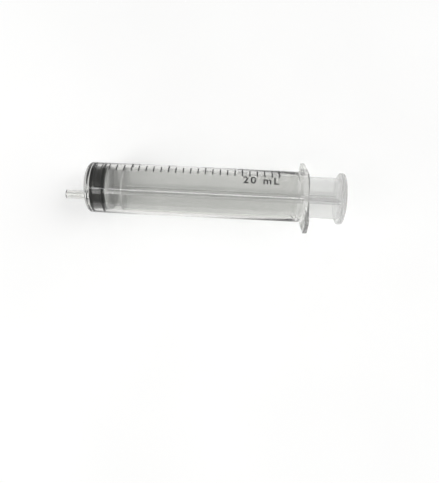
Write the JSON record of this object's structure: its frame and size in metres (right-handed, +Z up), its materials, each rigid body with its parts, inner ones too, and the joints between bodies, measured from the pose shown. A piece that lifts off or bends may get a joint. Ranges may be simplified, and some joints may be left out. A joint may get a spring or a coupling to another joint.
{
  "type": "luer slip syringe",
  "caption": "Clear plastic syringe with an off-centre slip nozzle, black gasket, cross-ribbed plunger and a lozenge finger flange, lying on its side.",
  "frame": {"origin": "centre of the bounding box at its base, on the surface that the syringe lies on", "axes": "+X from the nozzle to the thumb press, +Z up, +Y to the side that the scale leans towards"},
  "size_m": [0.1234, 0.034, 0.024],
  "materials": {
    "barrel": "gloss",
    "gasket": "satin",
    "plunger_rod": "satin",
    "scale_ink": "satin"
  },
  "bodies": {
    "barrel": {"barrel": "barrel"},
    "gasket": {"gasket": "gasket"},
    "plunger_rod": {"plunger_rod": "plunger_rod"}
  },
  "joints": [
    {"name": "plunger_slide", "type": "slide", "parent": "barrel", "child": "gasket", "axis": [1, 0, 0.0096], "range_m": [0, 0.082]},
    {"name": "rod_spin", "type": "hinge", "parent": "gasket", "child": "plunger_rod", "pos_m": [-0.04152, 0, 0.01116], "axis": [1, 0, 0.0096], "continuous": true}
  ]
}
